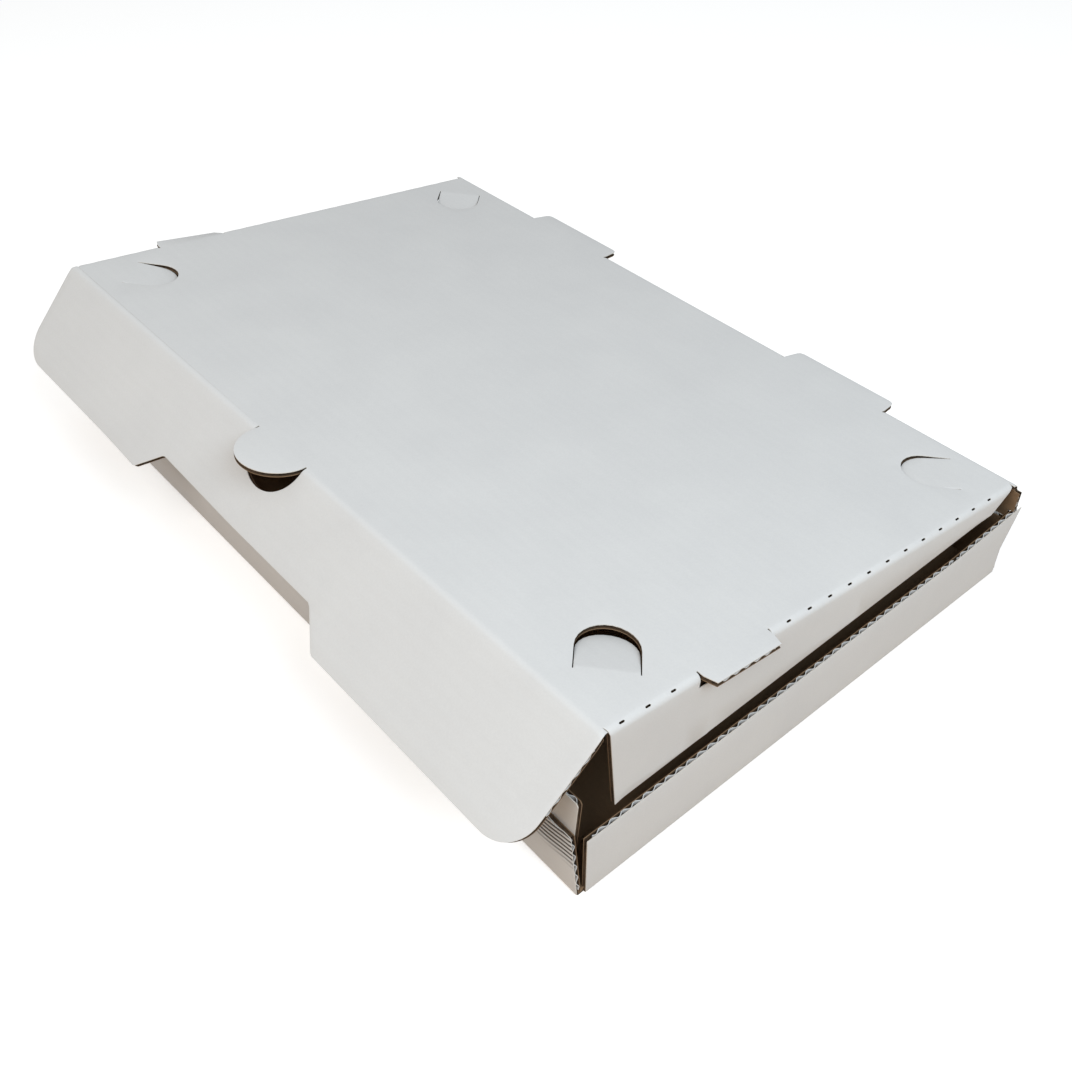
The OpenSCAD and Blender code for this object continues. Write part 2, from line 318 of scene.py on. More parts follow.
def place_tray(flat, depth):
    x, y = flat.T
    depth = depth + wrinkle_sink(x, y) * (1 - depth / BOARD)
    past_x, past_y = np.abs(x) - TRAY_X, np.abs(y) - TRAY_Y
    side_wall = past_x > WALL_FROM
    end_wall = (past_y > 0) & ~side_wall
    out_x, up_x, turn_x = rounded_fold(np.where(end_wall, UNFOLDED, past_x), RIGHT_ANGLE, BOTTOM_R)
    out_y, up_y, turn_y = rounded_fold(np.where(side_wall, UNFOLDED, past_y), RIGHT_ANGLE, BOTTOM_R)
    out_x, out_y = np.where(end_wall, past_x, out_x), np.where(side_wall, past_y, out_y)
    turn = np.maximum(turn_x, turn_y)
    bent = (turn > TINY_TURN) & (turn < RIGHT_ANGLE - TINY_TURN)
    depth = np.where(bent, depth * CRUSHED, depth)
    px = np.sign(x) * (TRAY_X + out_x - depth * np.sin(turn_x))
    py = np.sign(y) * (TRAY_Y + out_y - depth * np.sin(turn_y))
    pz = up_x + up_y + depth * np.cos(turn_x) * np.cos(turn_y)
    return np.stack([px, py, pz], 1)


print("tray sheet:", len(tray_sheet[1]), "triangles a side")

# %% [markdown]
# Four corner ears are glued behind the front and back walls, and stand a little clear of the side walls. The front pair
# rises above the walls. They are flat, so each is its own small sheet, set against its wall.

# %% Cut the corner ears and join the tray
EAR_X0, EAR_X1, EAR_FOOT_X, EAR_FRONT_H = 180.5, 228.5, 224.0, 58.5
EAR_SLANT, EAR_NIP_X, EAR_NIP_H = 6.0, 1.0, 1.5


def join(name, meshes):
    both = bmesh.new()
    for mesh in meshes:
        both.from_mesh(mesh)
        bpy.data.meshes.remove(mesh)
    mesh = bpy.data.meshes.new(name)
    both.to_mesh(mesh)
    both.free()
    return mesh


def ear_place(sign_x, sign_y):
    def place(flat, depth):
        return np.stack([sign_x * flat[:, 0], sign_y * (TRAY_Y - BOARD - depth), flat[:, 1]], 1)
    return place


front_ear = [(EAR_X0, BOARD), (EAR_FOOT_X, BOARD), (EAR_X1, EAR_FRONT_H - EAR_NIP_H),
             (EAR_X1 - EAR_NIP_X, EAR_FRONT_H), (EAR_X0 + EAR_SLANT, EAR_FRONT_H)]
back_ear = [(EAR_X0, BOARD), (EAR_FOOT_X, BOARD), (EAR_X1, SIDE_H), (EAR_X0 + EAR_SLANT, SIDE_H)]
tray_parts = [board("walls", tray_sheet, place_tray, over=True, seams=(back_top,))]
for sx in (-1, 1):
    for sy, outline in ((-1, front_ear), (1, back_ear)):
        tray_parts.append(board("ear", cut_sheet(outline), ear_place(sx, sy), over=sx * sy > 0, flutes=1))
tray_mesh = join("tray_board_folded", tray_parts)
print("tray board:", len(tray_mesh.polygons), "faces")

# %% [markdown]
# ## The lid
#
# The lid's sheet has the panel, the side flaps beyond its side folds, and every piece that stays flat when a flap is
# folded: the two hinge tabs, a small tab on each side fold, and the half-round thumb tongue. Each of the four corner
# vents is a U-shaped slit. The side folds are also nicked at regular steps, so that the board bends in a straight line.
# The nicks repeat, but they are holes that bend with the fold, so they are cut with the sheet and not added to it.

# %% Draw the lid's slits
SIDE_TAB_Y, SIDE_TAB_HALF, SIDE_TAB_OUT, SIDE_TAB_TAPER, SIDE_SLOT_GAP = -214.0, 21.5, 6.2, 2.0, 0.8
VENT_HALF, VENT_LONG, VENT_INSET, VENT_BACK, VENT_SLIT = 14.0, 28.0, 24.5, 20.0, 0.5
NICK_STEP, NICK_FIRST, NICK_LAST, NICK_FROM_TAB = 14.15, 24.5, LID_DEPTH - 8, 6.0
NICK_LONG, NICK_WIDE, NICK_POINT, NICK_INSET = 3.2, 1.3, 0.5, 0.9


def arc(cx, cy, radius, start, end, steps=14):
    return [(cx + radius * math.cos(a), cy + radius * math.sin(a)) for a in np.linspace(start, end, steps)]


def vent_frame(side, front):
    along = np.array([-side, 1 if front else -1]) / math.sqrt(2)
    fold = np.array([side * (LID_X - VENT_INSET), VENT_INSET - LID_DEPTH if front else -VENT_BACK])
    return fold, along, np.array([-along[1], along[0]])


def vent_slit(side, front):
    fold, along, across = vent_frame(side, front)
    centre, small = VENT_LONG - VENT_HALF, VENT_HALF - VENT_SLIT
    shape = [(0, -VENT_HALF)] + arc(centre, 0, VENT_HALF, -RIGHT_ANGLE, RIGHT_ANGLE) + [(0, VENT_HALF), (0, small)]
    shape += arc(centre, 0, small, RIGHT_ANGLE, -RIGHT_ANGLE) + [(0, -small)]
    return [tuple(fold + p * along + q * across) for p, q in shape]


def side_slot(side):
    low, high, gap = SIDE_TAB_Y - SIDE_TAB_HALF, SIDE_TAB_Y + SIDE_TAB_HALF, SIDE_SLOT_GAP
    shape = [(-SIDE_REACH, low - gap), (SIDE_TAB_OUT + gap, low - gap), (SIDE_TAB_OUT + gap, high + gap),
             (-SIDE_REACH, high + gap), (-SIDE_REACH, high), (0, high), (SIDE_TAB_OUT, high - SIDE_TAB_TAPER),
             (SIDE_TAB_OUT, low + SIDE_TAB_TAPER), (0, low), (-SIDE_REACH, low)]
    return [(side * (LID_X + s), y) for s, y in shape]


def nick(side, y):
    x, half, end, shoulder = LID_X - NICK_INSET, NICK_WIDE / 2, NICK_LONG / 2, NICK_LONG / 2 - NICK_POINT
    shape = [(-half, -shoulder), (0, -end), (half, -shoulder), (half, shoulder), (0, end), (-half, shoulder)]
    return [(side * (x + across), y + along) for across, along in shape]


nick_places = [-v for v in np.arange(NICK_FIRST, NICK_LAST, NICK_STEP)
               if abs(-v - SIDE_TAB_Y) > SIDE_TAB_HALF + NICK_FROM_TAB]
lid_holes = [nick(side, y) for side in (-1, 1) for y in nick_places]
lid_holes += [side_slot(side) for side in (-1, 1)]
lid_holes += [vent_slit(side, front) for side in (-1, 1) for front in (False, True)]
print("slits in the lid:", len(lid_holes))

# %% [markdown]
# The lid's outline starts at the middle of the hinge edge. Beside the hinge tabs it stops where the bend of the
# hinge begins, because the bend is a piece of its own that has to stretch between two bodies. A hinge tab's end is a
# short list of points: how far along the tab, and how far out from the hinge.

# %% Cut the lid
TONGUE_R, HINGE_TAB_END = 21.0, [(0, 0), (1.3, 8), (2.3, 10.1), (4.6, 11)]
FLAP_BACK_Y, FLAP_FRONT_Y, FLAP_SLIT, FLAP_NIP = -4.0, -275.6, 0.4, 1.0
FLAP_FRONT_D, FLAP_BACK_D, FLAP_BACK_RAKE = 50.0, 12.0, 14.0
VENT_SCORES, VENT_SCORE_GAP = (0.6, 1.2, 1.8, 2.4, 8, 14, 20), 0.3
front_seam, back_seam = FRONT_REACH - LID_DEPTH, -HINGE_REACH
slip, flap_back = LID_X - SIDE_REACH, FLAP_BACK_Y - FLAP_BACK_RAKE
flap_edge = [(LID_X + FLAP_BACK_D, flap_back - FLAP_NIP), (LID_X + FLAP_FRONT_D, FLAP_FRONT_Y)]
lid_right = [
    (TAB_IN, back_seam), *[(TAB_IN + along, out) for along, out in HINGE_TAB_END],
    *[(TAB_OUT - along, out) for along, out in reversed(HINGE_TAB_END)], (TAB_OUT, back_seam),
    (LID_X, back_seam), (LID_X, FLAP_BACK_Y + FLAP_SLIT), (slip, FLAP_BACK_Y + FLAP_SLIT),
    (slip, FLAP_BACK_Y), (LID_X, FLAP_BACK_Y), (LID_X + FLAP_BACK_D - FLAP_NIP, flap_back + FLAP_NIP),
    *flap_edge, (slip, front_seam + FLAP_SLIT), (slip - FLAP_SLIT, front_seam), (TONGUE_R, front_seam),
]
tongue = arc(0, -LID_DEPTH, TONGUE_R, 0, -math.pi, 33)
lid_outline = lid_right + tongue + [(-x, y) for x, y in reversed(lid_right)]
lid_scores = []
for side in (-1, 1):
    lid_scores += fold_scores(side * LID_X, SIDE_REACH, -LID_DEPTH, FLAP_BACK_Y, False)
    for front in (False, True):
        fold, along, across = vent_frame(side, front)
        half = (VENT_HALF - VENT_SLIT - VENT_SCORE_GAP) * across
        lid_scores += [(tuple(fold + p * along - half), tuple(fold + p * along + half)) for p in VENT_SCORES]
lid_sheet = cut_sheet(lid_outline, lid_holes, lid_scores)
print("lid sheet:", len(lid_sheet[1]), "triangles a side")

# %% [markdown]
# To fold the lid, points past a side fold go round it, apart from those of the small flat tabs. Points inside a vent's
# slit are pressed down about the vent's own fold, each by its own angle, as fingers leave them. The small tab on the
# left droops a little. Then the whole lid is turned up about the hinge, to where it stands. Along a side flap's lower
# edge the outer liner is torn back a little from the cut, so that the flutes behind it show.

# %% Fold the lid
VENT_R, TAB_DROOP, TORN, TORN_FRONT, TORN_BACK = 12.0, 0.15, 0.9, 0.6, 2.0
VENT_PRESS = {(1, True): math.radians(11), (-1, True): math.radians(7),
              (1, False): math.radians(5), (-1, False): math.radians(9)}


def stand_ajar(p):
    y = TRAY_Y + p[:, 1] * math.cos(LID_OPEN) + p[:, 2] * math.sin(LID_OPEN)
    z = BACK_H - p[:, 1] * math.sin(LID_OPEN) + p[:, 2] * math.cos(LID_OPEN)
    return np.stack([p[:, 0], y, z], 1)


def place_lid(flat, depth):
    x, y = flat.T
    in_tab = np.abs(y - SIDE_TAB_Y) < SIDE_TAB_HALF + SIDE_SLOT_GAP / 2
    in_tab &= np.abs(x) < LID_X + SIDE_TAB_OUT + SIDE_SLOT_GAP / 2
    stays_flat = in_tab | (y > FLAP_BACK_Y + FLAP_SLIT / 2) | (y < front_seam + FLAP_SLIT / 2)
    past = np.where(stays_flat, UNFOLDED, np.abs(x) - LID_X)
    out, down, turn = rounded_fold(past, RIGHT_ANGLE, SIDE_R)
    flat_x = np.where(stays_flat, np.abs(x), LID_X + out)
    p = np.stack([np.sign(x) * (flat_x - depth * np.sin(turn)), y, -down - depth * np.cos(turn)], 1)
    stuck_out = np.where(in_tab & (x < 0), np.maximum(-slip - x, 0), 0)
    p[:, 2] -= stuck_out * TAB_DROOP * (1 + (y - SIDE_TAB_Y) / SIDE_TAB_HALF)
    small = VENT_HALF - VENT_SLIT / 2
    for (side, front), press in VENT_PRESS.items():
        fold, along, across = vent_frame(side, front)
        u, v = (flat - fold) @ along, (flat - fold) @ across
        pressed = (u > 0) & (np.abs(v) < small) & ((u < VENT_HALF) | (np.hypot(u - VENT_HALF, v) < small))
        reach = fold_reach(press, VENT_R)
        run, down, turn = rounded_fold(u - reach, press, VENT_R)
        run = run + reach - depth * np.sin(turn)
        xy = fold + run[:, None] * along + v[:, None] * across
        dipped = np.stack([xy[:, 0], xy[:, 1], -down - depth * np.cos(turn)], 1)
        p[pressed] = dipped[pressed]
    return stand_ajar(p)


def torn_liner(flat):
    start, end = np.array(flap_edge)
    ahead = (end - start) / np.linalg.norm(end - start)
    side, y = np.stack([np.sign(flat[:, 0]), np.ones(len(flat))], 1), flat[:, 1]
    inward = np.array([ahead[1], -ahead[0]])
    from_cut = (flat * side - start) @ inward
    torn = (y > end[1] + TORN_FRONT) & (y < start[1] - TORN_BACK)
    return np.where(torn, np.clip(TORN - from_cut, 0, TORN), 0)[:, None] * inward * side


lid_mesh = board("lid_board_folded", lid_sheet, place_lid, seams=(back_seam, front_seam), torn=torn_liner)
print("lid board:", len(lid_mesh.polygons), "faces")

# %% [markdown]
# ## The front flap
#
# The front flap is the wide panel that flares out over the front wall, with two round corners, a notch in its free
# edge and the half-round hole that the thumb tongue was cut from. Its sheet begins on the lid's side of the fold, so
# the bend belongs to this piece. Its two upper corners curl down a little, to meet the lid's side folds, and its left
# half is a few millimetres shorter than its right. The notch's edge is a list of points: how far out from the notch's
# inner end, and how far up from the free edge.

# %% Cut and fold the front flap
FLAP_D, FLAP_R, FLAP_TAPER, NOTCH_HALF, NOTCH_D = 62.0, 20.0, 3.0, 70.0, 17.0
NOTCH_EDGE = [(NOTCH_D + 1, 0), (NOTCH_D - 0.8, 0.8), (1, NOTCH_D - 1), (-1, NOTCH_D)]
HOLE_R, FLAP_LEAN, FLAP_CORNER_UP = TONGUE_R + 1, math.atan2(FLAP_TAPER, FLAP_D), 0.9
FLAP_SHORT, FLAP_SHORT_X, CURL_D = 0.05, 120.0, 5.0
round_x = LID_X - FLAP_R / math.cos(FLAP_LEAN) - (FLAP_D - FLAP_R) * math.tan(FLAP_LEAN)
flap_right = [(HOLE_R, FRONT_REACH), (slip - FLAP_SLIT, FRONT_REACH),
              (LID_X, FRONT_REACH + FLAP_CORNER_UP), (LID_X, 0)]
flap_right += arc(round_x, FLAP_R - FLAP_D, FLAP_R, -FLAP_LEAN, -RIGHT_ANGLE)
flap_right += [(NOTCH_HALF + out, up - FLAP_D) for out, up in NOTCH_EDGE]
hole = arc(0, 0, HOLE_R, -math.pi, 0, 33)
flap_outline = flap_right + [(-x, y) for x, y in reversed(flap_right)] + hole
flap_scores = fold_scores(0, FRONT_REACH, -LID_X, LID_X, True)
for side in (-1, 1):
    flap_scores += fold_scores(side * LID_X, SIDE_REACH, -CURL_D, FRONT_REACH, False)
flap_sheet = cut_sheet(flap_outline, scores=flap_scores)


def place_flap(flat, depth):
    side, x = np.sign(flat[:, 0]), np.abs(flat[:, 0])
    y = flat[:, 1] * (1 - FLAP_SHORT * np.clip(-flat[:, 0] / FLAP_SHORT_X, 0, 1))
    curl = np.clip((y + CURL_D) / (FRONT_REACH + CURL_D), 0, 1) ** 2
    out, down, turn = rounded_fold(x - LID_X, RIGHT_ANGLE, SIDE_R)
    x = side * (x + curl * (LID_X + out - x - depth * np.sin(turn)))
    depth = depth * (1 - curl * (1 - np.cos(turn))) + curl * down
    out, down, turn = rounded_fold(-y, FLAP_FOLD, FRONT_R)
    return stand_ajar(np.stack([x, depth * np.sin(turn) - out - LID_DEPTH, -down - depth * np.cos(turn)], 1))


flap_mesh = board("front_flap_folded", flap_sheet, place_flap, seams=(FRONT_REACH,))
print("front flap board:", len(flap_mesh.polygons), "faces")

# %% [markdown]
# ## The hinge bend
#
# On the real box the paper runs unbroken from the back wall over the hinge into the lid, in three strips beside the
# hinge tabs. Each strip is a small sheet of its own, bent round the hinge to where the lid stands.

# %% Cut and fold the hinge strips
def place_hinge(flat, depth):
    out, down, turn = rounded_fold(flat[:, 1], HINGE_FOLD, HINGE_R)
    return stand_ajar(np.stack([flat[:, 0], out - depth * np.sin(turn), -down - depth * np.cos(turn)], 1))


def hinge_strip(x0, x1):
    sheet = cut_sheet([(x0, -HINGE_REACH), (x1, -HINGE_REACH), (x1, HINGE_REACH), (x0, HINGE_REACH)],
                      scores=fold_scores(0, HINGE_REACH, -LID_X, LID_X, True))
    return board("strip", sheet, place_hinge, seams=(-HINGE_REACH, HINGE_REACH))


hinge_mesh = join("hinge_strips", [hinge_strip(-LID_X, -slot_out),
                                   hinge_strip(-slot_in, slot_in),
                                   hinge_strip(slot_out, LID_X)])
print("hinge strips:", len(hinge_mesh.polygons), "faces")

# %% [markdown]
# ## Finishes
#
# A small helper adds a node and sets its sockets, so that each finish below reads as a list of what it is made of. A
# Mix node has sockets of the same name for each kind of value, so its colour sockets are called by number.

# %% A helper for shader nodes
MIX_A, MIX_B, MIXED = 6, 7, 2


def add(tree, kind, inputs=None, **settings):
    node = tree.nodes.new(kind)
    for name, value in settings.items():
        setattr(node, name, value)
    for name, value in (inputs or {}).items():
        socket = node.inputs[name]
        if isinstance(value, bpy.types.NodeSocket):
            tree.links.new(value, socket)
        else:
            socket.default_value = value
    return node


def new_finish(name):
    material = bpy.data.materials.new(name)
    material.use_nodes = True
    return material, material.node_tree, material.node_tree.nodes["Principled BSDF"]


print("pieces that wait for a finish:", [m.name for m in (tray_mesh, lid_mesh, flap_mesh, hinge_mesh)])

# %% [markdown]
# The white liner is bleached paper. It isn't one flat colour: the pulp clouds a little, fine fibres show, and the
# flutes behind it press faint ridges through, all running along the box. The ridges follow the flat sheet's UV map, so
# they turn with the board at each fold. The inner liner is unbleached kraft and is made the same way, in a brown
# kept darker than plain kraft as painted shade for the inside of the box.

# %% Make the liners
WHITE, CLOUDED_WHITE = (0.73, 0.735, 0.735), (0.67, 0.675, 0.68)
# The kraft colours are partly the paper's own brown and partly painted shade for the inside of the box.
KRAFT_DARKENED_AS_SHADE, CLOUDED_KRAFT_DARKENED_AS_SHADE = (0.26, 0.17, 0.10), (0.20, 0.13, 0.075)


def liner(name, light, dark, ridge):
    material, tree, shader = new_finish(name)
    place = add(tree, "ShaderNodeTexCoord").outputs["Object"]
    sheet = add(tree, "ShaderNodeUVMap", uv_map="sheet").outputs["UV"]
    cloud = add(tree, "ShaderNodeTexNoise", {"Vector": place, "Scale": 22, "Detail": 3, "Roughness": 0.6})
    fibre = add(tree, "ShaderNodeTexNoise", {"Vector": place, "Scale": 900, "Detail": 4, "Roughness": 0.7})
    wander = add(tree, "ShaderNodeTexNoise", {"Vector": place, "Scale": 14, "Detail": 1})
    along = add(tree, "ShaderNodeSeparateXYZ", {"Vector": sheet})
    phase = add(tree, "ShaderNodeMath", {0: along.outputs["Y"], 1: 2 * math.pi / (FLUTE_PITCH * MM),
                                         2: wander.outputs["Fac"]}, operation="MULTIPLY_ADD")
    wave = add(tree, "ShaderNodeMath", {0: phase.outputs[0]}, operation="SINE")
    mottle = add(tree, "ShaderNodeMath", {0: cloud.outputs["Fac"], 1: fibre.outputs["Fac"]}, operation="ADD")
    spread = add(tree, "ShaderNodeMapRange", {"Value": mottle.outputs[0], "From Min": 0.6, "From Max": 1.4})
    colour = add(tree, "ShaderNodeMix", {"Factor": spread.outputs[0], MIX_A: (*dark, 1), MIX_B: (*light, 1)},
                 data_type="RGBA")
    rough = add(tree, "ShaderNodeMapRange", {"Value": fibre.outputs["Fac"], "To Min": 0.55, "To Max": 0.8})
    tree.links.new(rough.outputs[0], shader.inputs["Roughness"])
    grain = add(tree, "ShaderNodeBump", {"Height": fibre.outputs["Fac"], "Strength": 0.12, "Distance": 0.0002})
    ridges = add(tree, "ShaderNodeBump", {"Height": wave.outputs[0], "Strength": ridge, "Distance": 0.0001,
                                          "Normal": grain.outputs[0]})
    tree.links.new(colour.outputs[MIXED], shader.inputs["Base Color"])
    tree.links.new(ridges.outputs[0], shader.inputs["Normal"])
    shader.inputs["Specular IOR Level"].default_value = 0.3
    return material


white_liner = liner("white liner", WHITE, CLOUDED_WHITE, ridge=0.12)
tray_liner = liner("white liner of the tray", WHITE, CLOUDED_WHITE, ridge=0.12)
kraft_liner = liner("kraft liner", KRAFT_DARKENED_AS_SHADE, CLOUDED_KRAFT_DARKENED_AS_SHADE, ridge=0.4)
print("liners:", [m.name for m in (white_liner, tray_liner, kraft_liner)])

# %% [markdown]
# The wrinkles near the front wall's right end get painted shade: the tray's liner is darkened in their folds. The
# nodes repeat the sum that sank them into the sheet: the UV map says how far along the box a point is, and how far past
# the front fold. They are put between the liner's own colour and bump and its shader.

# %% Paint shade into the wrinkles
# The dark colour below is painted shade, laid into the wrinkles' folds.
WRINKLE_PAINTED_SHADE = (0.07, 0.05, 0.04, 1)


def paint_shade_in_wrinkles(material):
    tree = material.node_tree
    shader = tree.nodes["Principled BSDF"]
    colour, normal = [shader.inputs[name].links[0].from_socket for name in ("Base Color", "Normal")]
    sheet = add(tree, "ShaderNodeUVMap", uv_map="sheet").outputs["UV"]
    x, y, _ = add(tree, "ShaderNodeSeparateXYZ", {"Vector": sheet}).outputs
    lean = add(tree, "ShaderNodeMath", {0: x, 1: WRINKLE_LEAN, 2: y}, operation="MULTIPLY_ADD")
    turns = add(tree, "ShaderNodeMath", {0: x, 1: 1 / (WRINKLE_SWAY_LONG * MM)}, operation="MULTIPLY")
    sway = add(tree, "ShaderNodeMath", {0: turns.outputs[0]}, operation="SINE")
    bend = add(tree, "ShaderNodeMath", {0: sway.outputs[0], 1: WRINKLE_SWAY * MM, 2: lean.outputs[0]},
               operation="MULTIPLY_ADD")
    count = add(tree, "ShaderNodeMath", {0: bend.outputs[0], 1: 2 * math.pi / (WRINKLE_STEP * MM)},
                operation="MULTIPLY")
    fold = add(tree, "ShaderNodeMath", {0: count.outputs[0]}, operation="SINE")
    line = add(tree, "ShaderNodeMapRange", {"Value": fold.outputs[0], "From Min": -0.2, "From Max": 0.5})
    right = add(tree, "ShaderNodeMapRange", {"Value": x, "From Min": WRINKLE_X * MM,
                                             "From Max": (WRINKLE_X + WRINKLE_FADE_X) * MM})
    upper = add(tree, "ShaderNodeMapRange", {"Value": y, "From Min": WRINKLE_Y * MM,
                                             "From Max": (WRINKLE_Y - WRINKLE_FADE_Y) * MM})
    there = add(tree, "ShaderNodeMath", {0: right.outputs[0], 1: upper.outputs[0]}, operation="MULTIPLY")
    shade = add(tree, "ShaderNodeMath", {0: there.outputs[0], 1: line.outputs[0]}, operation="MULTIPLY")
    # Painted shade: the liner's colour is mixed towards the dark colour along each wrinkle.
    lined = add(tree, "ShaderNodeMix", {"Factor": shade.outputs[0], MIX_A: colour, MIX_B: WRINKLE_PAINTED_SHADE},
                data_type="RGBA")
    bumped = add(tree, "ShaderNodeBump", {"Height": shade.outputs[0], "Strength": 0.6, "Distance": 0.0006,
                                          "Normal": normal}, invert=True)
    tree.links.new(lined.outputs[MIXED], shader.inputs["Base Color"])
    tree.links.new(bumped.outputs[0], shader.inputs["Normal"])


paint_shade_in_wrinkles(tray_liner)
print("nodes in the tray's liner:", len(tray_liner.node_tree.nodes))

# %% [markdown]
# Cut edges show the paper's own pulp, slightly browner than its bleached face. Between them the wavy paper is
# unbleached kraft. Deep in a cut a much darker kraft is painted in, as shade. Each is one colour with specks, so one
# function makes all.

# %% Make the cut edge, the flute paper and the painted shade in cuts
def pulp(name, light, dark, scale):
    material, tree, shader = new_finish(name)
    place = add(tree, "ShaderNodeTexCoord").outputs["Object"]
    speck = add(tree, "ShaderNodeTexNoise", {"Vector": place, "Scale": scale, "Detail": 4, "Roughness": 0.65})
    spread = add(tree, "ShaderNodeMapRange", {"Value": speck.outputs["Fac"], "From Min": 0.3, "From Max": 0.7})
    colour = add(tree, "ShaderNodeMix", {"Factor": spread.outputs[0], MIX_A: (*dark, 1), MIX_B: (*light, 1)},
                 data_type="RGBA")
    tree.links.new(colour.outputs[MIXED], shader.inputs["Base Color"])
    bump = add(tree, "ShaderNodeBump", {"Height": speck.outputs["Fac"], "Strength": 0.3, "Distance": 0.0002})
    tree.links.new(bump.outputs[0], shader.inputs["Normal"])
    shader.inputs["Roughness"].default_value = 0.9
    shader.inputs["Specular IOR Level"].default_value = 0.2
    return material


cut_edge = pulp("cut edge of the liner", (0.78, 0.75, 0.71), (0.62, 0.57, 0.50), scale=700)
flute_paper = pulp("kraft flute paper", (0.50, 0.41, 0.31), (0.34, 0.26, 0.18), scale=500)
# The darkest kraft below is painted shade for the hollow of each cut.
flute_painted_shade = pulp("kraft painted dark as shade in a cut", (0.12, 0.078, 0.048), (0.06, 0.04, 0.025), scale=500)
print("edges:", [m.name for m in (cut_edge, flute_paper, flute_painted_shade)])

# %% [markdown]
# ## Flutes in the open cuts
#
# Where a cut crosses the flutes, as on top of the side walls, the wavy paper shows as a row of waves between the
# liners. It repeats hundreds of times, so Geometry Nodes make it: one wave is a bent grid with a little thickness, a
# line of points repeats it along the cut, and each wave is crushed by its own small random amount, from a fixed seed.

# %% Build the flute row in Geometry Nodes
WAVE_SIZES = {"Length": 100.0, "Pitch": FLUTE_PITCH, "Height": 1.6, "Depth": 2.5, "Paper": 0.3}
LEAST_CRUSHED, MOST_CRUSHED, CRUSH_SEED = (1, 1, 1), (1, 0.94, 0.86), 5


def flute_row_tree():
    tree = bpy.data.node_groups.new("flute row", "GeometryNodeTree")
    face = tree.interface
    face.new_socket("Geometry", in_out="INPUT", socket_type="NodeSocketGeometry")
    for name, value in WAVE_SIZES.items():
        face.new_socket(name, in_out="INPUT", socket_type="NodeSocketFloat").default_value = value * MM
    face.new_socket("Geometry", in_out="OUTPUT", socket_type="NodeSocketGeometry")
    size = add(tree, "NodeGroupInput").outputs
    grid = add(tree, "GeometryNodeMeshGrid", {"Size X": size["Pitch"], "Size Y": size["Depth"],
                                              "Vertices X": 9, "Vertices Y": 2})
    spot = add(tree, "ShaderNodeSeparateXYZ", {"Vector": add(tree, "GeometryNodeInputPosition").outputs[0]})
    share = add(tree, "ShaderNodeMath", {0: spot.outputs["X"], 1: size["Pitch"]}, operation="DIVIDE")
    angle = add(tree, "ShaderNodeMath", {0: share.outputs[0], 1: 2 * math.pi}, operation="MULTIPLY")
    wave = add(tree, "ShaderNodeMath", {0: angle.outputs[0]}, operation="SINE")
    lift = add(tree, "ShaderNodeMath", {0: wave.outputs[0], 1: size["Height"]}, operation="MULTIPLY")
    half = add(tree, "ShaderNodeMath", {0: lift.outputs[0], 1: 0.5}, operation="MULTIPLY")
    inset = add(tree, "ShaderNodeMath", {0: size["Depth"], 1: 0.5}, operation="MULTIPLY")
    move = add(tree, "ShaderNodeCombineXYZ", {"Y": inset.outputs[0], "Z": half.outputs[0]})
    bent = add(tree, "GeometryNodeSetPosition", {"Geometry": grid.outputs["Mesh"], "Offset": move.outputs[0]})
    raised = add(tree, "GeometryNodeExtrudeMesh", {"Mesh": bent.outputs[0], "Offset Scale": size["Paper"],
                                                   "Individual": False})
    under = add(tree, "GeometryNodeFlipFaces", {"Mesh": bent.outputs[0]})
    paper = add(tree, "GeometryNodeJoinGeometry")
    tree.links.new(under.outputs[0], paper.inputs[0])
    tree.links.new(raised.outputs["Mesh"], paper.inputs[0])
    closed = add(tree, "GeometryNodeMergeByDistance", {"Geometry": paper.outputs[0], "Distance": 1e-6})
    many = add(tree, "ShaderNodeMath", {0: size["Length"], 1: size["Pitch"]}, operation="DIVIDE")
    count = add(tree, "ShaderNodeMath", {0: many.outputs[0]}, operation="FLOOR")
    step = add(tree, "ShaderNodeCombineXYZ", {"X": size["Pitch"]})
    first = add(tree, "ShaderNodeMath", {0: size["Pitch"], 1: 0.5}, operation="MULTIPLY")
    start = add(tree, "ShaderNodeCombineXYZ", {"X": first.outputs[0]})
    line = add(tree, "GeometryNodeMeshLine", {"Count": count.outputs[0], "Start Location": start.outputs[0],
                                              "Offset": step.outputs[0]})
    crush = add(tree, "FunctionNodeRandomValue", data_type="FLOAT_VECTOR")
    crush.inputs[0].default_value, crush.inputs[1].default_value = MOST_CRUSHED, LEAST_CRUSHED
    crush.inputs["Seed"].default_value = CRUSH_SEED
    row = add(tree, "GeometryNodeInstanceOnPoints", {"Points": line.outputs[0], "Instance": closed.outputs[0],
                                                     "Scale": crush.outputs[0]})
    real = add(tree, "GeometryNodeRealizeInstances", {"Geometry": row.outputs[0]})
    painted = add(tree, "GeometryNodeSetMaterial", {"Geometry": real.outputs[0], "Material": flute_paper})
    add(tree, "NodeGroupOutput", {"Geometry": painted.outputs[0]})
    return tree


flute_tree = flute_row_tree()
print("flute row tree:", len(flute_tree.nodes), "nodes")

# %% [markdown]
# A row is made straight, at the origin, and then set into its cut. The cut's own place function says where its ends and
# its inside are, so a row on the lid stands ajar with the lid.

# %% Set a row of flutes into a cut
ROW_SINK = 0.15


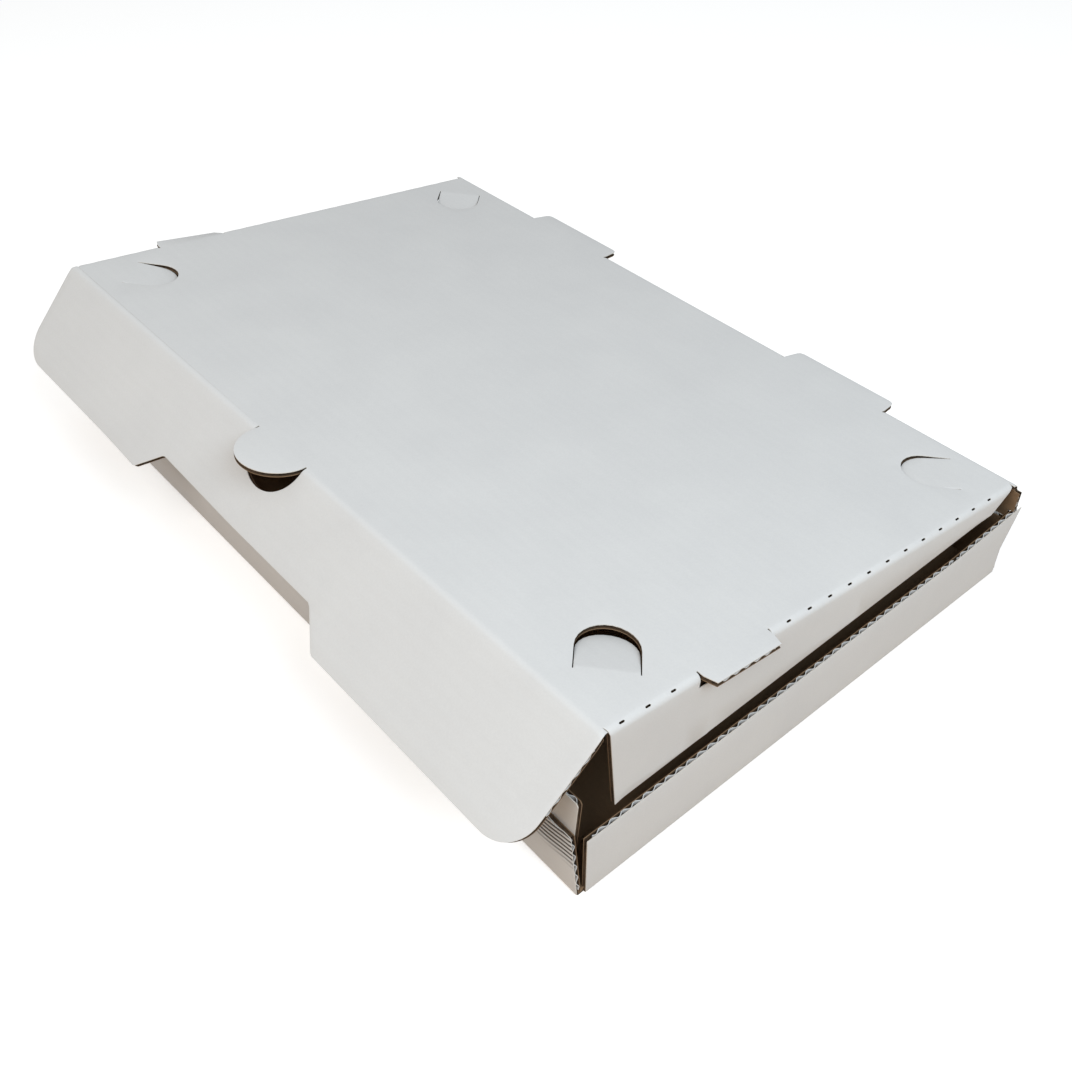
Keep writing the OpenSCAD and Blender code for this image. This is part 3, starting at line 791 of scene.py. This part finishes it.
def flute_row(place, start, end, into):
    ends = place(np.array([start, end, (start[0] + into[0], start[1] + into[1])], float), np.full(3, BOARD / 2))
    along, inside = Vector(ends[1] - ends[0]), Vector(ends[2] - ends[0])
    length = along.length
    holder = bpy.data.objects.new("row", bpy.data.meshes.new("row"))
    bpy.context.scene.collection.objects.link(holder)
    rows = holder.modifiers.new("flutes", "NODES")
    rows.node_group = flute_tree
    for socket in flute_tree.interface.items_tree:
        if socket.in_out == "INPUT" and socket.name == "Length":
            rows[socket.identifier] = length * MM
    mesh = bpy.data.meshes.new_from_object(holder.evaluated_get(bpy.context.evaluated_depsgraph_get()))
    bpy.data.objects.remove(holder)
    spare = length % FLUTE_PITCH / 2
    x = along.normalized()
    y = (inside - inside.project(x)).normalized()
    frame_here = Matrix((x, y, x.cross(y))).transposed().to_4x4()
    frame_here.translation = (Vector(ends[0]) + x * spare + y * ROW_SINK) * MM
    mesh.transform(frame_here)
    return mesh


trial = flute_row(lambda flat, depth: np.column_stack([flat, depth]), (0, 0), (64, 0), (0, 1))
print("a trial row of 64 mm has", len(trial.polygons), "faces")
bpy.data.meshes.remove(trial)

# %% [markdown]
# The cuts that cross the flutes are listed by name, each from one point of the flat sheet to another, on the right
# half. The left half is mirrored. A row starts and ends a little inside its cut, clear of the corners.

# %% Fill the open cuts
TRAY_CUTS = {
    "side wall's top": ((wall_top, 1.8 - WALL_END_Y), (wall_top, rise_y)),
    "side wall's rise": ((wall_top, rise_y), (wall_top + WALL_RISE, WALL_END_Y + WALL_RAKE - 1)),
    "front wall's end": ((FOOT_X, -TRAY_Y - 3), (TOP_X, front_top + 1)),
    "back wall's foot": ((FOOT_X, TRAY_Y + 2), (BACK_NECK_X, neck_y - 0.5)),
    "back wall's neck": ((BACK_NECK_X, neck_y + 0.5), (BACK_NECK_X, wide_y - 0.2)),
    "back wall's upper end": ((wide_x, wide_y + 0.3), (wide_x, back_top - 1)),
}
tab_x, tab_half, flap_x = LID_X + SIDE_TAB_OUT, SIDE_TAB_HALF - 2.5, LID_X + FLAP_FRONT_D
LID_CUTS = {
    "side flap's lower edge": ((LID_X + FLAP_BACK_D + 0.2, flap_back - 2), (flap_x, FLAP_FRONT_Y + 2.6)),
    "side tab's edge": ((tab_x, SIDE_TAB_Y - tab_half), (tab_x, SIDE_TAB_Y + tab_half)),
}
FLAP_CUTS = {"front flap's end": ((LID_X - 0.2, -4), (LID_X - 2, FLAP_R - FLAP_D))}


def rows_in(cuts, place, side):
    return [flute_row(place, (side * start[0], start[1]), (side * end[0], end[1]), (-side, 0))
            for start, end in cuts.values()]


tray_rows, lid_rows, flap_rows = [], [], []
for side in (-1, 1):
    tray_rows += rows_in(TRAY_CUTS, place_tray, side)
    for end, high in ((-1, EAR_FRONT_H), (1, SIDE_H)):
        ear_top = (EAR_X0 + EAR_SLANT + 1, high), (EAR_X1 - 1.5, high)
        tray_rows.append(flute_row(ear_place(side, end), *ear_top, (0, -1)))
    lid_rows += rows_in(LID_CUTS, place_lid, side)
    flap_rows += rows_in(FLAP_CUTS, place_flap, side)
tray_row_mesh, lid_row_mesh = join("tray_flutes", tray_rows), join("lid_flutes", lid_rows)
flap_row_mesh = join("front_flap_flutes", flap_rows)
print("flute faces:", [len(m.polygons) for m in (tray_row_mesh, lid_row_mesh, flap_row_mesh)])

# %% [markdown]
# ## Putting the pieces on their bodies
#
# Each mesh becomes an object at the origin. The boards stand for the CAD nodes. The tray and the lid ride on their
# bodies. The front flap and the hinge strips stay where they are built, on no body.

# %% Make the objects and tie them to the bodies
SMOOTH_BELOW = math.radians(35)


def piece(mesh, finishes, slot):
    for finish in finishes:
        mesh.materials.append(finish)
    mesh.shade_smooth()
    mesh.set_sharp_from_angle(angle=SMOOTH_BELOW)
    made = bpy.data.objects.new(mesh.name, mesh)
    bpy.context.scene.collection.objects.link(made)
    return made


BOARD_FINISHES = (white_liner, kraft_liner, cut_edge, flute_painted_shade)
TRAY_FINISHES = (tray_liner, kraft_liner, cut_edge, flute_painted_shade)
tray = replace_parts(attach(piece(tray_mesh, TRAY_FINISHES, "tray_board"), "tray"), "tray")
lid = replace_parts(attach(piece(lid_mesh, BOARD_FINISHES, "lid_board"), "lid"), "lid")
front_flap = piece(flap_mesh, BOARD_FINISHES, "flap_board")
hinge_strips = piece(hinge_mesh, BOARD_FINISHES, "lid_board")
for mesh, body, slot in ((tray_row_mesh, "tray", "tray_board"), (lid_row_mesh, "lid", "lid_board"),
                         (flap_row_mesh, "front_flap", "flap_board")):
    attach(piece(mesh, (), slot), body)


def spot(place, y):
    return tuple(place(np.array([[0.0, y]]), np.zeros(1))[0] * MM)


spot(place_flap, FRONT_REACH)
spot(place_flap, -FRONT_REACH)
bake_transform(front_flap)
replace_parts(front_flap, "front_flap")
spot(place_hinge, HINGE_REACH)
spot(place_hinge, -HINGE_REACH)
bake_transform(hinge_strips)
print("pieces:", [o.name for o in (tray, lid, front_flap, hinge_strips)])

# %% [markdown]
# ## Floor, light and camera
#
# The floor is white to the camera but tan to the light that bounces off it, as a wooden table would be, because that
# bounce warms the foot of the walls. A Light Path node tells the two apart. The floor lies a hair below the box.

# %% Lay the floor
FLOOR_HALF, FLOOR_Z = 4.0, -0.0002
floor_mesh = bpy.data.meshes.new("floor")
floor_corners = [(x * FLOOR_HALF, y * FLOOR_HALF, FLOOR_Z) for x, y in ((-1, -1), (1, -1), (1, 1), (-1, 1))]
floor_mesh.from_pydata(floor_corners, [], [(0, 1, 2, 3)])
floor = bpy.data.objects.new("floor", floor_mesh)
bpy.context.scene.collection.objects.link(floor)
floor_finish, tree, shader = new_finish("pale floor")
rays = add(tree, "ShaderNodeLightPath")
seen = add(tree, "ShaderNodeMath", {0: rays.outputs["Is Camera Ray"], 1: rays.outputs["Is Glossy Ray"]},
           operation="MAXIMUM")
seen = add(tree, "ShaderNodeMath", {0: seen.outputs[0], 1: rays.outputs["Is Transmission Ray"]}, operation="MAXIMUM")
white = add(tree, "ShaderNodeBsdfDiffuse", {"Color": (0.9, 0.9, 0.9, 1)})
glow = add(tree, "ShaderNodeEmission", {"Color": (1, 1, 1, 1), "Strength": 0.4})
lit = add(tree, "ShaderNodeAddShader", {0: white.outputs[0], 1: glow.outputs[0]})
tan = add(tree, "ShaderNodeBsdfDiffuse", {"Color": (0.51, 0.36, 0.23, 1)})
mix = add(tree, "ShaderNodeMixShader", {0: seen.outputs[0], 1: tan.outputs[0], 2: lit.outputs[0]})
tree.links.new(mix.outputs[0], tree.nodes["Material Output"].inputs["Surface"])
floor_mesh.materials.append(floor_finish)
print("floor:", 2 * FLOOR_HALF, "m wide")

# %% [markdown]
# The light is plain and soft: an even sky, one large cool lamp at the right and one large warm lamp above the front.
# Large disks give soft shadows, and their two tints set the side of the box off from its front.

# %% Light the box
SKY, SKY_STRENGTH, AIM = (0.975, 0.99, 1.0, 1), 0.425, (0, 0, 0.05)
world = bpy.data.worlds.new("studio")
bpy.context.scene.world = world
world.use_nodes = True
tree = world.node_tree
sky = tree.nodes["Background"]
rays = add(tree, "ShaderNodeLightPath")
sky.inputs["Color"].default_value, sky.inputs["Strength"].default_value = SKY, SKY_STRENGTH
bright = add(tree, "ShaderNodeBackground", {"Color": (1, 1, 1, 1), "Strength": 1})
mix = add(tree, "ShaderNodeMixShader", {0: rays.outputs["Is Camera Ray"], 1: sky.outputs[0], 2: bright.outputs[0]})
tree.links.new(mix.outputs[0], tree.nodes["World Output"].inputs["Surface"])


def lamp(name, place, size, watts, colour):
    light = bpy.data.lights.new(name, "AREA")
    light.shape, light.size, light.energy, light.color = "DISK", size, watts, colour
    made = bpy.data.objects.new(name, light)
    made.location = place
    made.rotation_euler = (Vector(AIM) - Vector(place)).to_track_quat("-Z", "Y").to_euler()
    bpy.context.scene.collection.objects.link(made)


lamp("window", (1.15, -0.05, 1.12), size=0.9, watts=11.0, colour=(0.80, 0.91, 0.99))
lamp("front", (0.34, -1.15, 1.53), size=1.1, watts=14.2, colour=(1, 0.945, 0.875))

# %% [markdown]
# The camera was found by matching the box's fold lines in the photograph: where it stands, how it is turned, and how
# long its lens is. The lens was found in pixels, so it is turned into millimetres on a sensor of the usual width.

# %% Set the camera
AZIMUTH, ELEVATION, ROLL = math.radians(49.996), math.radians(42.431), math.radians(-0.731)
STAND, SENSOR_MM, LENS_PX, FRAME_PX = (0.42907, -0.33585, 0.45162), 36, 1203.04, 1072
level = math.cos(ELEVATION)
back = Vector((math.sin(AZIMUTH) * level, -math.cos(AZIMUTH) * level, math.sin(ELEVATION)))
right = Vector((0, 0, 1)).cross(back).normalized()
up = back.cross(right)
right, up = right * math.cos(ROLL) + up * math.sin(ROLL), up * math.cos(ROLL) - right * math.sin(ROLL)
camera = bpy.data.objects.new("camera", bpy.data.cameras.new("camera"))
camera.data.sensor_fit, camera.data.sensor_width = "HORIZONTAL", SENSOR_MM
camera.data.lens = SENSOR_MM * LENS_PX / FRAME_PX
camera.matrix_world = Matrix((right, up, back)).transposed().to_4x4()
camera.location = STAND
bpy.context.scene.collection.objects.link(camera)
bpy.context.scene.camera = camera
bpy.context.scene.view_settings.view_transform = "Standard"
print("camera lens", round(camera.data.lens, 2), "mm")
